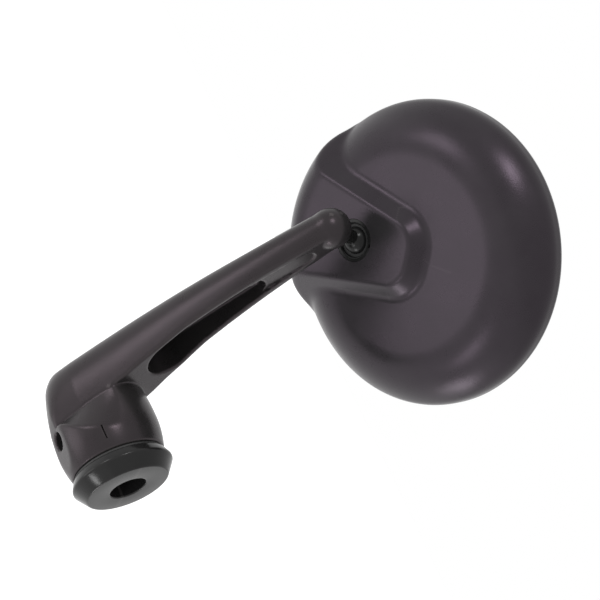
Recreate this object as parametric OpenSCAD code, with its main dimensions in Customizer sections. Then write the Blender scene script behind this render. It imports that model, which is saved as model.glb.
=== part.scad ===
// Round motorcycle mirror on a handlebar-end arm.
// Origin: centre of the collar face that meets the end of the handlebar.
// +X runs outboard along the bar, +Z up along the arm and +Y towards the front of the motorcycle.

/* [Collar] */
// Diameter of the flat face that meets the bar end
bar_face_d = 27.4; // [24:0.2:30]
// Largest diameter of the collar
collar_d = 34; // [32:0.5:40]
// Diameter of the collar's outboard edge
collar_top_d = 31.2; // [28:0.2:31.8]
// Height of the cone between the bar face and the largest diameter
collar_cone_h = 4.6; // [3:0.2:8]
// Height of the bevel outboard of the largest diameter
collar_bevel_h = 3; // [1:0.2:6]
// Diameter of the centring bore in the bar face
centring_d = 12; // [10:0.5:16]
// Depth of the centring bore
centring_depth = 7; // [3:0.5:10]
// Diameter of the hole for the mounting bolt
bolt_hole_d = 8.4; // [6.4:0.1:10.4]
// Diameter of the counterbore for the bolt's head
bolt_head_d = 14; // [10:0.5:15]
// Depth of the counterbore for the bolt's head
bolt_head_depth = 9; // [6:0.5:14]
// Diameter of the spigot that carries the arm
spigot_d = 18.4; // [17:0.2:22]
// Length of the spigot
spigot_h = 24; // [20:0.5:28]
// Depth of the V groove in the spigot
groove_depth = 1.3; // [0.6:0.1:1.6]

/* [Friction washer] */
// Thickness of the washer between collar and arm
washer_t = 0.8; // [0.5:0.1:2]

/* [Arm] */
// Height of the ball end's centre above the bar axis
arm_h = 95; // [80:1:130]
// Distance of the ball end's centre outboard of the bar face
tip_x = 43.4; // [42:0.2:50]
// Radius of the rounded arm end
tip_r = 6.8; // [6.4:0.1:8]
// Diameter of the arm's boss
boss_d = 33.8; // [32:0.2:40]
// Width of the arm across the boss
arm_w = 24.4; // [20:0.4:28]
// Width of the arm just below its rounded end
arm_tip_w = 12.4; // [10:0.2:13]
// Distance of the arm's crown outboard of the bar face
crown_x = 50; // [48:0.5:60]
// Distance of the arm's flat side outboard of the bar face, at the boss
flat_root_x = 27.6; // [26:0.2:32]
// Distance of the arm's flat side outboard of the bar face, at the rounded end
flat_tip_x = 38.5; // [37:0.1:41]
// Thickness of the crown over the pocket
pocket_floor = 7.5; // [4:0.5:9]
// Width of the rim beside the pocket
pocket_rim = 1.9; // [1.2:0.1:3]

/* [Screws and ball stud] */
// Thread diameter of the clamp screw
clamp_screw_d = 6; // [5:1:8]
// Length of the clamp screw
clamp_screw_l = 6; // [5:0.5:7]
// Turn of the clamp screw from straight down towards the front
clamp_angle = 42; // [0:1:50]
// Diameter of the ball
ball_d = 9.4; // [8:0.2:10]
// Diameter of the stud's neck
neck_d = 4.8; // [4:0.2:5.2]
// Thread diameter of the stud's shank
shank_d = 6; // [5:0.5:7]
// Length of the stud's thread in the arm
shank_l = 9; // [6:0.5:11]

/* [Mirror head] */
// Outside diameter of the head
head_d = 100; // [90:1:120]
// Depth of the head from back face to rim
head_depth = 16.5; // [15:0.5:22]
// Wall thickness of the shell
shell_t = 2.4; // [2:0.1:3]
// Diameter of the flat back face
back_flat_d = 62; // [50:1:66]
// Height of the raised tongue above the back face
tongue_h = 5; // [3.5:0.5:8]
// Width of the tongue across its tip
tongue_w = 21; // [18:0.5:28]
// Distance of the tongue's tip past the head's centre
tongue_past = 5; // [2:0.5:10]
// Half of the angle between the tongue's sides
tongue_half_angle = 11; // [0:1:20]
// Distance of the ball from the head's centre
ball_offset = 16.5; // [12:0.5:24]
// Thickness of the mirror glass
glass_t = 2; // [1.8:0.1:3]
// Radius of curvature of the convex glass
glass_r = 1000; // [600:50:1400]

/* [Pose] */
// Turn of the head about X, then Y, then Z
head_turn = [-124.5, 35, -14]; // [-180:0.5:180]
// Position of the ball's centre along the bar axis
ball_x = 42.6; // [38:0.2:48]
// Distance of the ball's centre behind the arm
ball_back = 15.6; // [14:0.2:20]
// Height of the ball's centre above the arm's rounded end
ball_rise = 4.1; // [0:0.1:8]

/* [Hidden] */
$fn = 96;
eps = 0.01;
anodised_black = "#2b282c";
steel_dark = "#38363a";
rubber_black = "#1c1c1c";
nylon_black = "#242424";
zinc_grey = "#8e9093";
glass_silver = "#b9c4cc";

// Clearances: a running fit, a fastener in its hole, and a gap between neighbours
running_c = 0.05;
screw_c = 0.05;
gap = 0.15;

// Collar and boss, stacked along X
collar_h = collar_cone_h + collar_bevel_h;
boss_x0 = collar_h + washer_t + gap;
spigot_end = collar_h + spigot_h;
boss_r = boss_d / 2;
bore_end = spigot_end + 0.6;
boss_end = flat_root_x + 2;
barrel_r = 36;
barrel_x = boss_x0 + 9.4;
bevel_x0 = barrel_x - 2;
clamp_x = collar_h + spigot_h * 0.57;
clamp_seat_z = spigot_d / 2 - groove_depth;

// The mirror head's ball joint
tip = [tip_x, 0, arm_h];
ball_centre = [ball_x, -ball_back, arm_h + ball_rise];
stud_vector = ball_centre - tip;
stud_len = norm(stud_vector);
stud_turn = [0, acos(stud_vector[2] / stud_len), atan2(stud_vector[1], stud_vector[0])];
ball_r = ball_d / 2;
liner_in = ball_r + 0.06;
liner_out = liner_in + 0.95;
socket_r = liner_out + 0.08;
liner_rim = 1.4;
ball_sink = 2.65;
ring_top = ball_sink - 0.35;
lip_h = ring_top - 0.4;
ring_base = -0.7;
ring_r = socket_r + 1.2;
stud_seat = tip_r - 0.9;
stud_flange_r = 3.4;
stud_flange_t = 1;

// Head, in its own frame: back face at z = 0, facing +z, tongue along +x
head_r = head_d / 2;
ball_z = tongue_h - ball_sink;
shoulder_z = 13;
edge_r = 7;
flat_r = back_flat_d / 2;
shoulder_w = head_r - flat_r;
shoulder_r = (shoulder_w * shoulder_w + shoulder_z * shoulder_z - 2 * shoulder_w * edge_r) / (2 * (shoulder_z - edge_r));
rim_tuck = 0.5;
inner_r = head_r - shell_t;
cavity_floor = shell_t + 0.2;
tongue_edge_r = 13;
tongue_corner_r = 6;
tongue_fillet = 2.6;
glass_gap = 0.9;
glass_disc_r = inner_r - glass_gap;
glass_apex = head_depth - 0.5;
glass_drop = glass_r - sqrt(glass_r * glass_r - glass_disc_r * glass_disc_r);
pad_t = max(1.3, glass_drop + 0.2);
pad_r = glass_disc_r - 2.5;
carrier_t = 1.8;
carrier_front = glass_apex - glass_t - pad_t;
carrier_back = carrier_front - carrier_t;
carrier_seat_t = 1;
carrier_head_t = 0.7;
carrier_r = inner_r - 0.3;
post_r = 3.4;
post_ring_r = 37;
post_angles = [90, 210, 330];
carrier_screw_r = 1.25;
carrier_screw_head_r = 2.4;
carrier_screw_l = 6;

function signed_power(v, e) = sign(v) * pow(abs(v), e);
function mix(a, b, u) = a + (b - a) * u;

// Outline of the arm seen from the front: crown side and flat side at a height z
cap_z = boss_r;
corner_z = 13.4;
corner_end_z = 5.5;
corner_x = 41;
function crown_at(z) = crown_x - 0.00072 * pow(z - 0.63 * arm_h, 2);
function cap_crown(z) = z > -corner_end_z ? crown_at(z)
    : z > -corner_z ? mix(corner_x, crown_at(-corner_end_z),
        sqrt(1 - pow((z + corner_end_z) / (corner_z - corner_end_z), 2)))
    : mix(corner_x, bevel_x0 + 6, pow((-z - corner_z) / (cap_z - corner_z), 1.2));
function taper(z) = max(0, min(1, z / arm_h));
function flat_at(z) = z < 0 ? flat_root_x
    : mix(flat_root_x, flat_tip_x, 1 - pow(1 - taper(z), 2));
function half_width(z) = z < 0 ? max(1.2, arm_w / 2 * sqrt(max(0, 1 - pow(z / cap_z, 2))))
    : mix(arm_w / 2, arm_tip_w / 2, pow(taper(z), 0.85));
function widest_share(z) = mix(0.08, 0.42, pow(taper(z), 1.4));
function squareness(z) = mix(2.7, 2, taper(z));

section_n = 26;
function arm_section(z) = let (
        lo = z < 0 ? min(flat_root_x, cap_crown(z) - 2) : flat_at(z),
        hi = cap_crown(z),
        mid = mix(lo, hi, widest_share(z)),
        depth = hi - mid,
        e = 2 / squareness(z),
        start = asin(pow((mid - lo) / depth, 1 / e))
    ) [for (k = [0 : section_n]) let (t = -start + (180 + 2 * start) * k / section_n)
        [mid + depth * signed_power(sin(t), e), half_width(z) * signed_power(cos(t), e), z]];

cap_stations = [for (k = [0 : 8]) -cap_z * cos(90 * k / 8) + (k == 0 ? 0.1 : 0)];
arm_stations = concat(cap_stations, [for (k = [1 : 19]) arm_h * k / 19]);

module about_x() {
    rotate([0, 90, 0]) children();
}

module skin(sections) {
    count = len(sections[0]);
    last = len(sections) - 1;
    side = [for (s = [0 : last - 1], k = [0 : count - 1])
        let (a = s * count + k, b = s * count + (k + 1) % count) each [[a, b, b + count], [a, b + count, a + count]]];
    ends = [[for (k = [count - 1 : -1 : 0]) k], [for (k = [0 : count - 1]) last * count + k]];
    polyhedron([for (s = sections) each s], concat(side, ends), convexity = 4);
}

module at_ball() {
    translate(ball_centre) rotate(head_turn) children();
}

module at_head() {
    at_ball() translate([-ball_offset, 0, -ball_z]) children();
}

module at_tip() {
    translate(tip) rotate(stud_turn) children();
}

// Turned collar: bevelled rim, bar face with centring bore, spigot with V groove
module bar_collar() {
    rim_r = collar_d / 2;
    spigot_r = spigot_d / 2;
    groove_half = groove_depth * 1.2;
    color(anodised_black) about_x() difference() {
        rotate_extrude() polygon([
            [0, 0], [bar_face_d / 2, 0], [rim_r, collar_cone_h], [collar_top_d / 2, collar_h],
            [spigot_r, collar_h], [spigot_r, clamp_x - groove_half], [spigot_r - groove_depth, clamp_x],
            [spigot_r, clamp_x + groove_half], [spigot_r, spigot_end - 1], [spigot_r - 1, spigot_end], [0, spigot_end]
        ]);
        translate([0, 0, -eps]) cylinder(d = centring_d, h = centring_depth + eps);
        cylinder(d = bolt_hole_d, h = spigot_end + 1);
        translate([0, 0, spigot_end - bolt_head_depth]) cylinder(d = bolt_head_d, h = bolt_head_depth + 1);
    }
}

module friction_washer() {
    color(nylon_black) about_x() translate([0, 0, collar_h]) difference() {
        cylinder(d = collar_top_d - 1, h = washer_t);
        translate([0, 0, -1]) cylinder(r = spigot_d / 2 + 0.15, h = washer_t + 2);
    }
}

// Barrel-shaped boss, bevelled front and back up to the arm's side faces
module boss_barrel() {
    bevel_run = boss_end - bevel_x0;
    bevel_drop = boss_r - arm_w / 2 + 0.4;
    difference() {
        about_x() rotate_extrude() intersection() {
            translate([0, boss_x0]) square([boss_r, boss_end - boss_x0]);
            translate([boss_r - barrel_r, barrel_x]) circle(r = barrel_r, $fn = 180);
        }
        for (s = [-1, 1]) translate([bevel_x0, s * boss_r, 0]) rotate([0, 0, -s * atan(bevel_drop / bevel_run)])
            translate([-2, s > 0 ? 0 : -boss_r, -boss_r]) cube([bevel_run * 2, boss_r, boss_d]);
    }
}

// Cored pocket in the flat side: wide round end near the boss, narrow end near the ball
module arm_pocket() {
    root_z = 0.315 * arm_h;
    end_z = 0.66 * arm_h;
    root_r = half_width(root_z) - pocket_rim;
    end_r = half_width(end_z) - pocket_rim - 0.8;
    lean = asin((root_r - end_r) / (end_z - root_z));
    translate([crown_x - pocket_floor, 0, 0]) rotate([0, -90, 0]) linear_extrude(height = crown_x) union() {
        translate([root_z, 0]) circle(r = root_r);
        translate([end_z, 0]) circle(r = end_r);
        polygon([for (p = [[root_z, root_r, 1], [end_z, end_r, 1], [end_z, end_r, -1], [root_z, root_r, -1]])
            [p[0] + p[1] * sin(lean), p[2] * p[1] * cos(lean)]]);
    }
}

// Shallow step that carries on from the pocket towards the rounded end
module arm_step() {
    from_z = 0.66 * arm_h;
    to_z = 0.88 * arm_h;
    from_r = half_width(from_z) - pocket_rim - 1;
    to_r = half_width(to_z) - pocket_rim - 2;
    translate([flat_tip_x + 0.2, 0, 0]) rotate([0, -90, 0]) linear_extrude(height = crown_x) union() {
        polygon([[from_z, -from_r], [to_z, -to_r], [to_z, to_r], [from_z, from_r]]);
        translate([to_z, 0]) circle(r = to_r);
    }
}

module arm() {
    bore_r = spigot_d / 2 + running_c;
    color(anodised_black) difference() {
        union() {
            skin([for (z = arm_stations) arm_section(z)]);
            translate(tip) sphere(r = tip_r);
            boss_barrel();
        }
        about_x() translate([0, 0, boss_x0 - 1]) cylinder(r = bore_r, h = bore_end - boss_x0 + 1);
        translate([clamp_x, 0, 0]) rotate([180 + clamp_angle, 0, 0]) cylinder(d = clamp_screw_d + 2 * screw_c, h = boss_d);
        arm_pocket();
        arm_step();
        at_tip() translate([0, 0, stud_seat - shank_l - 1]) cylinder(d = shank_d + 2 * screw_c, h = shank_l + 5);
        at_tip() translate([0, 0, stud_seat]) cylinder(r = stud_flange_r + 2, h = tip_r);
    }
}

// Cone-point set screw with a hexagon socket
module clamp_screw() {
    r = clamp_screw_d / 2;
    tip_z = clamp_seat_z + 0.25;
    socket_r = r * 0.58;
    color(steel_dark) translate([clamp_x, 0, 0]) rotate([180 + clamp_angle, 0, 0]) difference() {
        translate([0, 0, tip_z]) rotate_extrude() polygon([
            [0, 0], [0.3, 0], [r * 0.62, r * 0.5], [r, r * 0.5], [r, clamp_screw_l - 0.4],
            [r - 0.4, clamp_screw_l], [0, clamp_screw_l]
        ]);
        translate([0, 0, tip_z + clamp_screw_l - 2.5]) cylinder(r = socket_r, h = 3, $fn = 6);
    }
}

// Ball, neck, flange and threaded shank in one turned piece
module ball_stud() {
    color(steel_dark) at_tip() {
        translate([0, 0, stud_seat - shank_l]) cylinder(d = shank_d, h = shank_l);
        translate([0, 0, stud_seat]) cylinder(r = stud_flange_r, h = stud_flange_t);
        translate([0, 0, stud_seat + stud_flange_t - eps])
            cylinder(d = neck_d, h = stud_len - stud_seat - stud_flange_t);
        translate([0, 0, stud_len]) sphere(r = ball_r);
    }
}

// Nylon liner: a spherical shell that snaps over the ball
module ball_liner() {
    color(nylon_black) at_ball() difference() {
        sphere(r = liner_out);
        sphere(r = liner_in);
        translate([0, 0, liner_rim]) cylinder(r = liner_out + 1, h = liner_out);
    }
}

// Threaded retaining ring with two spanner slots
module socket_ring() {
    lip_r = sqrt(socket_r * socket_r - lip_h * lip_h);
    color(steel_dark) at_ball() difference() {
        translate([0, 0, ring_base]) rotate_extrude() polygon([
            [0, 0], [ring_r, 0], [ring_r, ring_top - ring_base - 0.5], [ring_r - 0.5, ring_top - ring_base],
            [0, ring_top - ring_base]
        ]);
        sphere(r = socket_r);
        cylinder(r = lip_r, h = ring_top + 1);
        for (a = [0, 180]) rotate([0, 0, a]) translate([lip_r + 0.9, -0.6, ring_top - 0.6]) cube([3, 1.2, 2]);
    }
}

// Half section of the head's outside: flat back, shoulder in two tangent arcs, tucked rim
module head_outline() {
    big = [flat_r, -shoulder_r];
    small = [head_r - edge_r, -shoulder_z];
    join = big + (small - big) / norm(small - big) * shoulder_r;
    polygon([
        [0, 0], [flat_r, 0], join, [head_r, -shoulder_z], [head_r, -head_depth + 1.5],
        [head_r - rim_tuck, -head_depth], [0, -head_depth]
    ]);
    intersection() {
        translate(big) circle(r = shoulder_r);
        polygon([[flat_r, -1], [flat_r, 1], [join[0] + 1, 1], join, [flat_r + 1, -2]]);
    }
    intersection() {
        translate(small) circle(r = edge_r);
        polygon([small, small + (join - small) * 2, [head_r + 2, join[1]], [head_r + 2, -shoulder_z]]);
    }
}

// Outline of the tongue seen from behind, moved outwards by an amount
tongue_tip = [tongue_corner_r - tongue_past, tongue_w / 2 - tongue_corner_r];
tongue_arc_n = 9;
function tongue_side(grow) = let (
        turn = 90 + tongue_half_angle,
        r = tongue_corner_r + grow,
        far = tongue_tip + head_d * [cos(tongue_half_angle), sin(tongue_half_angle)]
    ) concat([far + r * [cos(turn), sin(turn)]], [for (k = [0 : tongue_arc_n])
        let (t = mix(turn, 180, k / tongue_arc_n)) tongue_tip + r * [cos(t), sin(t)]]);
function tongue_outline(grow, z) = let (side = tongue_side(grow), n = len(side))
    concat([for (k = [n - 1 : -1 : 0]) [side[k][0], side[k][1], z]], [for (q = side) [q[0], -q[1], z]]);
function tongue_levels() = concat([[tongue_h + head_depth, -head_depth]], [for (t = [45 : -15 : 0])
    [tongue_fillet * (sin(t) - tan(22.5)), tongue_h - tongue_fillet * (1 - cos(t))]]);

// Raised tongue that carries the ball socket: rounded tip, sloped walls, sides that spread to the rim
module tongue() {
    intersection() {
        skin([for (level = tongue_levels()) tongue_outline(level[0], level[1])]);
        translate([0, 0, -head_depth]) rotate_extrude() {
            square([head_r - tongue_edge_r, head_depth + tongue_h]);
            square([head_r, head_depth + tongue_h - tongue_edge_r]);
            translate([head_r - tongue_edge_r, head_depth + tongue_h - tongue_edge_r])
                intersection() {
                    circle(r = tongue_edge_r);
                    square(tongue_edge_r);
                }
        }
    }
}

module at_posts() {
    for (a = post_angles) rotate([0, 0, a]) translate([post_ring_r, 0, 0]) children();
}

// Cast shell: domed back with the tongue, ball socket, posts for the carrier, and open front
module head_shell() {
    color(anodised_black) at_head() difference() {
        union() {
            difference() {
                union() {
                    rotate_extrude() head_outline();
                    tongue();
                }
                translate([0, 0, -head_depth - 1]) cylinder(r = inner_r, h = head_depth + 1 - carrier_back);
                translate([0, 0, -carrier_back - eps]) cylinder(r1 = inner_r, r2 = flat_r, h = carrier_back + eps - cavity_floor);
            }
            translate([ball_offset, 0, ball_z - socket_r - 2.4]) cylinder(r = ring_r + 2.5, h = socket_r);
            at_posts() translate([0, 0, -carrier_back]) cylinder(r = post_r, h = carrier_back - cavity_floor - 0.8);
        }
        translate([ball_offset, 0, ball_z]) sphere(r = socket_r);
        translate([ball_offset, 0, ball_z + ring_base]) cylinder(r = ring_r + screw_c, h = ring_top + 5);
        at_posts() translate([0, 0, -carrier_back - 1])
            cylinder(r = carrier_screw_r + screw_c, h = carrier_screw_l);
    }
}

// Half section of the convex dome at a depth behind the glass's outer face
module dome_section(depth) {
    translate([0, glass_r - glass_apex]) circle(r = glass_r - depth, $fn = 2400);
}

// Moulded plate behind the glass, screwed to the shell's posts
module glass_carrier() {
    color(nylon_black) at_head() difference() {
        translate([0, 0, -carrier_front]) cylinder(r = carrier_r, h = carrier_front - carrier_back);
        at_posts() translate([0, 0, -carrier_front - 1]) {
            cylinder(r = carrier_screw_r + 0.1, h = head_depth);
            cylinder(r = carrier_screw_head_r + 0.1, h = 1 + carrier_front - carrier_back - carrier_seat_t);
        }
    }
}

module carrier_screws() {
    color(zinc_grey) at_head() at_posts() translate([0, 0, -carrier_back - carrier_seat_t]) {
        translate([0, 0, -carrier_head_t]) cylinder(r = carrier_screw_head_r, h = carrier_head_t);
        cylinder(r = carrier_screw_r, h = carrier_screw_l - 0.5);
    }
}

// Foam pad that fills the space between the flat carrier and the curved glass
module adhesive_pad() {
    color(rubber_black) at_head() rotate_extrude() polygon(concat(
        [[0, -carrier_front], [pad_r, -carrier_front]],
        [for (k = [12 : -1 : 0]) let (r = pad_r * k / 12)
            [r, glass_r - glass_apex - sqrt(pow(glass_r - glass_t, 2) - r * r)]]
    ));
}

module mirror_glass() {
    color(glass_silver) at_head() rotate_extrude() difference() {
        intersection() {
            translate([0, -head_depth]) square([glass_disc_r, head_depth]);
            dome_section(0);
        }
        dome_section(glass_t);
    }
}

// Rubber ring between the glass edge and the shell
module glass_gasket() {
    seal_t = 0.7;
    seal_back = 0.6;
    color(rubber_black) at_head() translate([0, 0, -head_depth + seal_back]) difference() {
        cylinder(r = inner_r - 0.05, h = head_depth - seal_back - carrier_front);
        translate([0, 0, -1]) cylinder(r = inner_r - seal_t, h = head_depth);
    }
}

bar_collar();
friction_washer();
arm();
clamp_screw();
ball_stud();
ball_liner();
socket_ring();
head_shell();
glass_carrier();
carrier_screws();
adhesive_pad();
mirror_glass();
glass_gasket();
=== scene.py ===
"""Bar end mirror: smooth skins, finishes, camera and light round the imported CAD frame."""

import logging
import math
from collections.abc import Callable
from dataclasses import dataclass, field
from enum import Enum

import bpy
import bmesh
import numpy as np
from mathutils import Matrix, Vector


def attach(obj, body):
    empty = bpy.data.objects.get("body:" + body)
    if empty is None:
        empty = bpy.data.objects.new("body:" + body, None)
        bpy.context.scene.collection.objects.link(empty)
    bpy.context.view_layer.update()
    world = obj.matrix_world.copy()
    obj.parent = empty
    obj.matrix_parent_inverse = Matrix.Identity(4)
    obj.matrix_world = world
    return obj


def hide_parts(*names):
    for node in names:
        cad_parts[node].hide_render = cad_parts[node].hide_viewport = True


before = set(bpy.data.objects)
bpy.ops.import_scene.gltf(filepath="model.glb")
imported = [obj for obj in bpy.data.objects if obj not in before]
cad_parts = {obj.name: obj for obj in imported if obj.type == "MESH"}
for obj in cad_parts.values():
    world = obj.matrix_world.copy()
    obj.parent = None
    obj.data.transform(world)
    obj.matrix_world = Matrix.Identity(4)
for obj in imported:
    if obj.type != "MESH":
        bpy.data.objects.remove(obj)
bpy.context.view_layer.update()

LOG = logging.getLogger("bar_end_mirror")
MM = 0.001
ON_AXIS = 1e-6
TINY = 1e-9
# Colour that convex edges are lightened towards, partly as wear and partly as a painted highlight; EDGE_RANGE
# is the pointiness over which this happens.
EDGE_WEAR_AND_HIGHLIGHT_COLOR = (0.55, 0.5, 0.5, 1.0)
EDGE_RANGE = (0.51, 0.58)
CLOUD_RANGE = (0.3, 0.7)
GRAIN_SHARE = 0.35
BLEND_RANGE = (0.4, 0.95)
# Centres of the arm's end and the ball in millimetres, and the head's turn at rest in degrees.
TIP = Vector((43.4, 0, 95))
BALL = Vector((42.6, -15.6, 99.1))
HEAD_TURN = (-124.5, 35, -14)
Piece = bpy.types.Object
Number = float | np.ndarray
Shape = Callable[[np.ndarray], np.ndarray]


class Solver(Enum):
    """The ways of joining and cutting meshes."""

    JOIN = "UNION"
    CUT = "DIFFERENCE"


class Slot(Enum):
    """The record's material slots."""

    COLLAR = "anodised_collar"
    ARM = "anodised_arm"
    SHELL = "anodised_shell"
    STEEL = "black_steel"
    NYLON = "nylon"
    CARRIER = "carrier_plastic"
    ZINC = "zinc_steel"
    FOAM = "foam"
    MIRROR = "mirror_face"
    GASKET = "gasket_rubber"


@dataclass(frozen=True)
class Finish:
    """A procedural finish: colour and roughness that vary a little, a fine grain, and convex edges lightened
    partly as wear and partly as a painted highlight.
    """

    name: str
    color: tuple[float, float, float]
    tint: tuple[float, float, float]
    roughness: tuple[float, float]
    metallic: float = 0.0
    specular: float = 0.5
    sheen_tint: tuple[float, float, float] = (1.0, 1.0, 1.0)
    cloud_scale: float = 90.0
    grain_scale: float = 3200.0
    grain_depth: float = 0.00002
    # How far convex edges are lightened: partly wear, partly a painted highlight.
    edge_wear_and_highlight: float = 0.0

    def build(self) -> bpy.types.Material:
        """Makes the node material.

        Returns:
            The material, with all patterns on Object coordinates.
        """
        material = bpy.data.materials.new(self.name)
        material.use_nodes = True
        tree = material.node_tree
        nodes, links = tree.nodes, tree.links
        shader = nodes["Principled BSDF"]
        shader.inputs["Metallic"].default_value = self.metallic
        shader.inputs["Specular IOR Level"].default_value = self.specular
        shader.inputs["Specular Tint"].default_value = (*self.sheen_tint, 1.0)
        cloud = self._noise(tree, self.cloud_scale, 4.0)
        grain = self._noise(tree, self.grain_scale, 2.0)
        ramp = nodes.new("ShaderNodeValToRGB")
        for stop, position, color in zip(ramp.color_ramp.elements, CLOUD_RANGE, (self.color, self.tint)):
            stop.position = position
            stop.color = (*color, 1.0)
        links.new(cloud.outputs["Fac"], ramp.inputs["Fac"])
        base = ramp.outputs["Color"]
        # Lightened convex edges: partly wear, partly a painted highlight.
        if self.edge_wear_and_highlight:
            base = self._lighten_edges_for_wear_and_highlight(tree, base)
        links.new(base, shader.inputs["Base Color"])
        blend = nodes.new("ShaderNodeMath")
        blend.operation = "MULTIPLY_ADD"
        blend.inputs[1].default_value = GRAIN_SHARE
        links.new(grain.outputs["Fac"], blend.inputs[0])
        links.new(cloud.outputs["Fac"], blend.inputs[2])
        spread = nodes.new("ShaderNodeMapRange")
        spread.inputs["From Min"].default_value, spread.inputs["From Max"].default_value = BLEND_RANGE
        spread.inputs["To Min"].default_value, spread.inputs["To Max"].default_value = self.roughness
        links.new(blend.outputs["Value"], spread.inputs["Value"])
        links.new(spread.outputs["Result"], shader.inputs["Roughness"])
        bump = nodes.new("ShaderNodeBump")
        bump.inputs["Strength"].default_value = 1.0
        bump.inputs["Distance"].default_value = self.grain_depth
        links.new(grain.outputs["Fac"], bump.inputs["Height"])
        links.new(bump.outputs["Normal"], shader.inputs["Normal"])
        return material

    def _noise(self, tree: bpy.types.NodeTree, scale: float, detail: float) -> bpy.types.Node:
        """Adds a noise texture on Object coordinates.

        Args:
            tree: The material's node tree.
            scale: Pattern repeats per metre.
            detail: Noise octaves.

        Returns:
            The noise node.
        """
        coords = tree.nodes.new("ShaderNodeTexCoord")
        noise = tree.nodes.new("ShaderNodeTexNoise")
        noise.inputs["Scale"].default_value = scale
        noise.inputs["Detail"].default_value = detail
        tree.links.new(coords.outputs["Object"], noise.inputs["Vector"])
        return noise

    def _lighten_edges_for_wear_and_highlight(self, tree: bpy.types.NodeTree, base: bpy.types.NodeSocket) -> bpy.types.NodeSocket:
        """Lightens convex edges a little: partly wear where handling has polished the finish, partly a
        painted highlight that stands for the edges' reflections.

        Args:
            tree: The material's node tree.
            base: The colour so far.

        Returns:
            The colour with its convex edges lightened, as wear and as a painted highlight.
        """
        geometry = tree.nodes.new("ShaderNodeNewGeometry")
        edge = tree.nodes.new("ShaderNodeMapRange")
        edge.inputs["From Min"].default_value, edge.inputs["From Max"].default_value = EDGE_RANGE
        edge.inputs["To Max"].default_value = self.edge_wear_and_highlight
        tree.links.new(geometry.outputs["Pointiness"], edge.inputs["Value"])
        worn_and_highlit = tree.nodes.new("ShaderNodeMix")
        worn_and_highlit.data_type = "RGBA"
        tree.links.new(edge.outputs["Result"], worn_and_highlit.inputs["Factor"])
        tree.links.new(base, worn_and_highlit.inputs["A"])
        worn_and_highlit.inputs["B"].default_value = EDGE_WEAR_AND_HIGHLIGHT_COLOR
        return worn_and_highlit.outputs["Result"]


# The collar, arm and shell get lightened convex edges: partly wear, partly a painted highlight.
FINISHES = {
    Slot.COLLAR: Finish("collar_anodised", (0.011, 0.011, 0.011), (0.015, 0.015, 0.015), (0.16, 0.22),
                        specular=0.2, grain_depth=0.00001, edge_wear_and_highlight=0.04),
    Slot.ARM: Finish("arm_anodised", (0.019, 0.018, 0.018), (0.024, 0.023, 0.023), (0.25, 0.33),
                     specular=0.27, sheen_tint=(1.0, 0.8, 0.92), edge_wear_and_highlight=0.07),
    Slot.SHELL: Finish("shell_anodised", (0.019, 0.018, 0.019), (0.024, 0.023, 0.024), (0.25, 0.33),
                       specular=0.27, sheen_tint=(1.0, 0.78, 1.0), edge_wear_and_highlight=0.02),
    Slot.STEEL: Finish("blackened_steel", (0.009, 0.009, 0.009), (0.013, 0.013, 0.013), (0.2, 0.28),
                       specular=0.16, grain_depth=0.000006),
    Slot.NYLON: Finish("moulded_nylon", (0.012, 0.012, 0.012), (0.02, 0.02, 0.02), (0.5, 0.7)),
    Slot.CARRIER: Finish("moulded_carrier", (0.016, 0.016, 0.017), (0.024, 0.024, 0.026), (0.45, 0.65),
                         cloud_scale=60.0, grain_scale=2200.0),
    Slot.ZINC: Finish("zinc_plated", (0.45, 0.46, 0.48), (0.58, 0.58, 0.56), (0.22, 0.4), metallic=1.0,
                      cloud_scale=400.0, grain_depth=0.000008),
    Slot.FOAM: Finish("closed_foam", (0.012, 0.012, 0.012), (0.03, 0.03, 0.03), (0.85, 0.98),
                      grain_scale=900.0, grain_depth=0.0001),
    Slot.MIRROR: Finish("silvered_glass", (0.58, 0.62, 0.65), (0.62, 0.66, 0.68), (0.01, 0.025), metallic=1.0,
                        grain_depth=0.0),
    Slot.GASKET: Finish("gasket_rubber", (0.01, 0.01, 0.01), (0.018, 0.018, 0.018), (0.6, 0.8)),
}


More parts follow.
